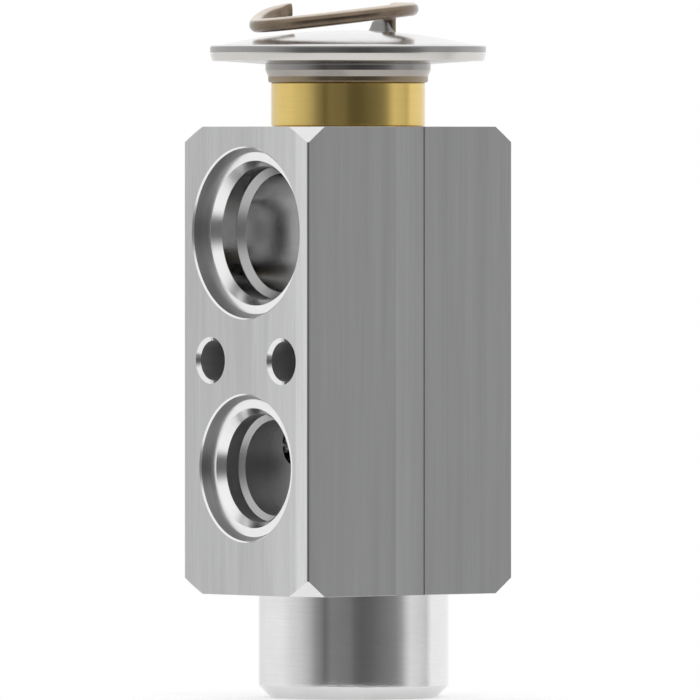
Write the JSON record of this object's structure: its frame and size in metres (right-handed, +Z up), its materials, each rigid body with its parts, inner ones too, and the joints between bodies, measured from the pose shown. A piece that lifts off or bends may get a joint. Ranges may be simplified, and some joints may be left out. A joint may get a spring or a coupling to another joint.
{
  "type": "expansion valve",
  "caption": "Block expansion valve with a round diaphragm head, a looped capillary, suction and liquid ports on opposite faces and an adjusting screw in its boss.",
  "frame": {"origin": "on the valve's own axis, level with the bottom face of the round boss", "axes": "+Z up along the valve's axis to the diaphragm head, -Y out of the front face with the suction port, two bolt holes and the outlet, +X out of a plain side"},
  "size_m": [0.039, 0.039, 0.0983],
  "materials": {
    "block_aluminium": "drawn bar with fine lengthwise lines, bright turned bores",
    "collar_brass": "turned and bright",
    "lower_shell_steel": "pressed stainless sheet, smooth",
    "upper_shell_steel": "pressed stainless sheet, polished",
    "diaphragm_steel": "thin rolled sheet",
    "inner_brass": "turned",
    "tube_copper": "drawn copper, brown with heat",
    "rod_steel": "ground stainless",
    "ball_steel": "polished",
    "spring_steel": "drawn wire and sheet",
    "seal_rubber": "matt",
    "screw_brass": "turned"
  },
  "bodies": {
    "housing": {"valve_block": "block_aluminium", "power_hub": "collar_brass", "hub_seal": "seal_rubber", "lower_shell": "lower_shell_steel", "upper_shell": "upper_shell_steel", "diaphragm": "diaphragm_steel", "capillary_tube": "tube_copper", "rod_seal": "seal_rubber", "rod_bush": "inner_brass", "seal_retainer": "spring_steel", "orifice_ring": "rod_steel"},
    "valve_train": {"diaphragm_plate": "inner_brass", "sensing_rod": "rod_steel", "valve_ball": "ball_steel", "ball_carrier": "inner_brass", "damping_spring": "spring_steel", "control_spring": "spring_steel"},
    "adjuster_carrier": {"adjuster_seal": "seal_rubber", "spring_plate": "inner_brass"},
    "adjuster": {"adjusting_screw": "screw_brass"}
  },
  "joints": [
    {"name": "valve_lift", "type": "slide", "parent": "housing", "child": "valve_train", "axis": [0, 0, -1], "range_m": [0, 0.0008], "stiffness_N_per_m": 6000, "springref_m": -0.004, "deforming": ["control_spring", "diaphragm"]},
    {"name": "adjuster_travel", "type": "slide", "parent": "housing", "child": "adjuster_carrier", "axis": [0, 0, 1], "range_m": [-0.001, 0.001]},
    {"name": "adjuster_turn", "type": "hinge", "parent": "adjuster_carrier", "child": "adjuster", "pos_m": [0, 0, 0.0015], "axis": [0, 0, 1], "range_deg": [-360, 360]}
  ],
  "couplings": [
    {"joint": "adjuster_travel", "follows": "adjuster_turn", "m_per_rad": 0.00015915}
  ]
}
